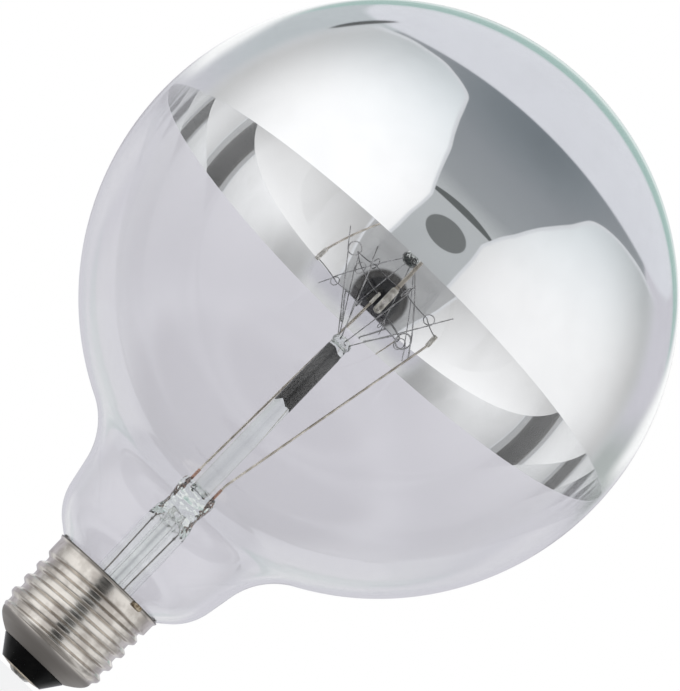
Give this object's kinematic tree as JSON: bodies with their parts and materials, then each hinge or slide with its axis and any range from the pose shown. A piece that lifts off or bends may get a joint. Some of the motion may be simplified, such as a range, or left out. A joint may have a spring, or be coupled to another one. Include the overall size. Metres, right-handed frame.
{
  "type": "silver crown bulb",
  "caption": "Large globe filament lamp with a mirrored crown, a clear glass neck that shows the stem and leads, and a standard screw cap.",
  "frame": {"origin": "centre of the contact's flat end, on the lamp's axis", "axes": "+Z along the lamp's axis, from the contact to the mirrored crown; -Y is the front, where the two leads show side by side"},
  "size_m": [0.125, 0.125, 0.1703],
  "materials": {
    "clear_glass": "clear blown glass, polished",
    "mirror_film": "bright silver film inside the glass",
    "stem_glass": "clear glass with a faint green tint",
    "dark_coat": "charcoal coat with a soft sheen",
    "copper_wire": "copper-clad wire, dull",
    "lead_wire": "drawn nickel wire with a straw tint",
    "clamp_metal": "pressed nickel sleeve, matt",
    "filament_wire": "dark drawn tungsten and molybdenum wire",
    "cap_metal": "nickel-plated sheet, matt and slightly warm",
    "cement": "baked cement, rough",
    "black_glass": "black glass, glossy",
    "contact_metal": "pressed brass plate, dull",
    "solder": "tin solder, softly shining"
  },
  "bodies": {
    "root": {"arbor_coat": "dark_coat", "arbor_rod": "stem_glass", "cap_cement": "cement", "cap_insulator": "black_glass", "cap_shell": "cap_metal", "centre_contact": "contact_metal", "contact_solder": "solder", "crown_mirror": "mirror_film", "exhaust_tube": "stem_glass", "filament": "filament_wire", "filament_support_1": "filament_wire", "filament_support_2": "filament_wire", "filament_support_3": "filament_wire", "filament_support_4": "filament_wire", "filament_support_5": "filament_wire", "globe_glass": "clear_glass", "inner_lead_left": "lead_wire", "inner_lead_right": "lead_wire", "lead_clamp_left": "clamp_metal", "lead_clamp_right": "clamp_metal", "outer_lead_contact": "copper_wire", "outer_lead_rim": "copper_wire", "rim_solder": "solder", "seal_wire_left": "copper_wire", "seal_wire_right": "copper_wire", "stem_flare": "stem_glass"}
  },
  "joints": []
}
